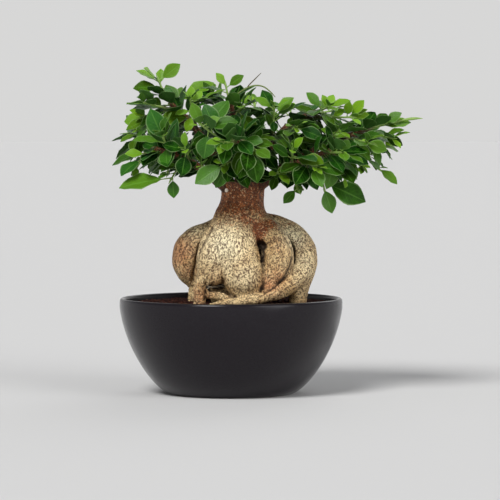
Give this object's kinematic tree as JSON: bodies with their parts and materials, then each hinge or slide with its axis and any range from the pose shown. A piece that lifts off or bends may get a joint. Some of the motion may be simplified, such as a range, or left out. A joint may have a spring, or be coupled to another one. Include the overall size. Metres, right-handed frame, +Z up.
{
  "type": "ficus ginseng bonsai",
  "caption": "Small fig tree on swollen, bulbous roots, with short grafted branches and glossy oval leaves, planted in a round dark glazed bowl.",
  "frame": {"origin": "centre of the bowl's flat base, on the surface it stands on", "axes": "+Z up, -Y towards the front of the tree as the picture shows it, +X to the viewer's right"},
  "size_m": [0.2928, 0.2345, 0.3299],
  "materials": {
    "glazed_pot": "dark charcoal glaze, satin to glossy",
    "gravel": "rough, matt drainage gravel",
    "soil": "granular reddish-brown soil, matt",
    "bark": "living bark, cream to red-brown with dark flecks",
    "leaf": "living leaf, leathery, softly glossy"
  },
  "bodies": {
    "root": {"pot": "glazed_pot", "drainage_gravel": "gravel", "soil": "soil", "tree": "bark", "shoot_01": "leaf", "shoot_02": "leaf", "shoot_03": "leaf", "shoot_04": "leaf", "shoot_05": "leaf", "shoot_06": "leaf", "shoot_07": "leaf", "shoot_08": "leaf", "shoot_09": "leaf", "shoot_10": "leaf", "shoot_11": "leaf", "shoot_12": "leaf", "shoot_13": "leaf", "shoot_14": "leaf", "shoot_15": "leaf", "shoot_16": "leaf", "shoot_17": "leaf", "shoot_18": "leaf", "shoot_19": "leaf", "shoot_20": "leaf", "shoot_21": "leaf", "shoot_22": "leaf", "shoot_23": "leaf", "shoot_24": "leaf", "shoot_25": "leaf", "shoot_26": "leaf", "shoot_27": "leaf", "shoot_28": "leaf", "shoot_29": "leaf", "shoot_30": "leaf", "shoot_31": "leaf", "shoot_32": "leaf", "shoot_33": "leaf", "shoot_34": "leaf", "shoot_35": "leaf", "shoot_36": "leaf", "shoot_37": "leaf", "shoot_38": "leaf", "shoot_39": "leaf", "shoot_40": "leaf", "shoot_41": "leaf", "shoot_42": "leaf", "shoot_43": "leaf", "shoot_44": "leaf", "shoot_45": "leaf", "shoot_46": "leaf", "shoot_47": "leaf", "shoot_48": "leaf", "shoot_49": "leaf", "shoot_50": "leaf", "shoot_51": "leaf", "shoot_52": "leaf", "shoot_53": "leaf"}
  },
  "joints": []
}
